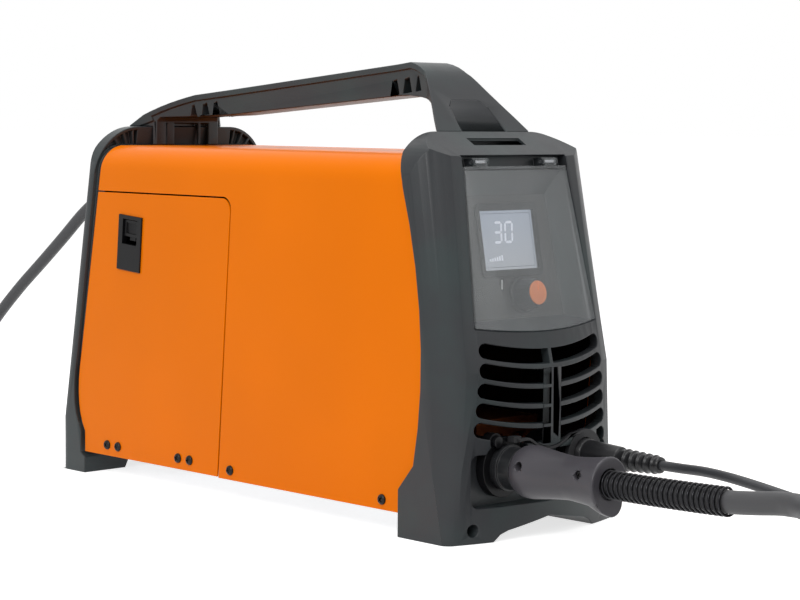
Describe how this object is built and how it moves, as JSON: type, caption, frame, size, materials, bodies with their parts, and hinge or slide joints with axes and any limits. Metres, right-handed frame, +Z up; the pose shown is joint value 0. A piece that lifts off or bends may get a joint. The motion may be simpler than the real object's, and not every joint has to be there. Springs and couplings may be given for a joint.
{
  "type": "plasma cutter",
  "caption": "Portable inverter plasma cutter with an arched handle, side door, lens over its display and knob, torch lead, work lead with clamp and mains lead.",
  "frame": {"origin": "centre of the unit's box on the floor, between the four feet", "axes": "+Z up, -Y out of the front panel, +Y out of the rear panel, +X to the side without the door"},
  "size_m": [0.2775, 1.4034, 0.3517],
  "materials": {
    "case_orange": "gloss powder coat, orange",
    "bezel_grey": "fine-grained moulded plastic, dark grey",
    "sheet_steel": "zinc-plated sheet",
    "black_sheet": "matt black paint",
    "black_screw": "black oxide",
    "black_plastic": "satin black moulding",
    "display_glass": "grey liquid-crystal window",
    "board_green": "circuit board",
    "trim_orange": "satin orange moulding",
    "clear_lens": "clear moulded cover",
    "black_rubber": "soft black rubber",
    "cord_grey": "dark grey cable jacket",
    "copper": "bare copper",
    "switch_red": "glossy red rocker",
    "brass": "turned brass",
    "heat_sink": "extruded aluminium"
  },
  "bodies": {
    "unit": {"base_tray": "sheet_steel", "case_cover": "case_orange", "front_bezel": "bezel_grey", "rear_bezel": "bezel_grey", "handle": "bezel_grey", "rear_panel": "black_sheet", "storage_tray": "black_sheet", "case_screws": "black_screw", "bezel_screws": "black_screw", "hinge_leaves": "sheet_steel", "hinge_pins": "sheet_steel", "control_panel": "bezel_grey", "display_frame": "black_plastic", "display_screen": "display_glass", "control_board": "board_green", "control_encoder": "sheet_steel", "lens_pins": "sheet_steel", "torch_socket": "black_plastic", "socket_strap": "black_rubber", "work_socket": "black_plastic", "torch_plug_collar": "black_plastic", "torch_plug_body": "bezel_grey", "torch_plug_screws": "black_screw", "torch_spring": "black_screw", "torch_lead": "cord_grey", "torch_coil": "cord_grey", "torch_handle": "black_plastic", "torch_head": "black_plastic", "torch_cup": "copper", "work_plug": "black_rubber", "work_lead": "cord_grey", "work_coil": "cord_grey", "work_tail": "cord_grey", "clamp_jaw_fixed": "sheet_steel", "clamp_pin": "sheet_steel", "mains_gland": "black_plastic", "mains_lead": "cord_grey", "mains_coil": "cord_grey", "mains_plug": "black_rubber", "switch_frame": "black_plastic", "air_inlet": "brass", "fan_frame": "black_plastic", "power_module": "heat_sink", "transformer": "copper", "air_valve": "brass"},
    "door": {"side_door": "case_orange", "door_screws": "black_screw", "door_leaves": "sheet_steel", "latch_housing": "black_plastic"},
    "latch": {"latch_slide": "black_plastic"},
    "lens": {"lens_cover": "clear_lens"},
    "knob": {"control_knob": "black_plastic", "knob_cap": "trim_orange"},
    "socket_button": {"socket_latch": "black_plastic"},
    "trigger": {"torch_trigger": "trim_orange"},
    "safety": {"torch_safety": "trim_orange"},
    "clamp_jaw": {"clamp_jaw_moving": "sheet_steel"},
    "rocker": {"power_switch": "switch_red"},
    "fan": {"fan_rotor": "black_plastic"}
  },
  "joints": [
    {"name": "door_hinge", "type": "hinge", "parent": "unit", "child": "door", "pos_m": [-0.0868, 0.12545, 0.021], "axis": [0, -1, 0], "range_deg": [0, 90]},
    {"name": "latch_travel", "type": "slide", "parent": "door", "child": "latch", "axis": [0, 0.0767, -0.9971], "range_m": [0, 0.006], "stiffness_N_per_m": 250},
    {"name": "lens_hinge", "type": "hinge", "parent": "unit", "child": "lens", "pos_m": [0, -0.20266, 0.27688], "axis": [-1, 0, 0], "range_deg": [0, 100]},
    {"name": "knob_turn", "type": "hinge", "parent": "unit", "child": "knob", "pos_m": [0.007, -0.22126, 0.17913], "axis": [0, -0.9842, 0.1771], "continuous": true},
    {"name": "button_press", "type": "slide", "parent": "unit", "child": "socket_button", "axis": [0, 1, 0], "range_m": [0, 0.0025], "stiffness_N_per_m": 300},
    {"name": "trigger_squeeze", "type": "hinge", "parent": "unit", "child": "trigger", "pos_m": [-0.06752, -0.68207, 0.0847], "axis": [0, 0, 1], "range_deg": [0, 4.5], "stiffness_Nm_per_rad": 1.5},
    {"name": "safety_flip", "type": "hinge", "parent": "trigger", "child": "safety", "pos_m": [-0.07702, -0.72307, 0.0847], "axis": [0, 0, 1], "range_deg": [0, 80], "stiffness_Nm_per_rad": 0.02},
    {"name": "clamp_open", "type": "hinge", "parent": "unit", "child": "clamp_jaw", "pos_m": [-0.057, -0.765, 0.013], "axis": [0, 0, 1], "range_deg": [0, 18], "stiffness_Nm_per_rad": 3},
    {"name": "switch_rock", "type": "hinge", "parent": "unit", "child": "rocker", "pos_m": [0.036, 0.186, 0.236], "axis": [0, 0, -1], "range_deg": [0, 16]},
    {"name": "fan_spin", "type": "hinge", "parent": "unit", "child": "fan", "pos_m": [0.03, 0.17, 0.108], "axis": [0, 1, 0], "continuous": true}
  ]
}
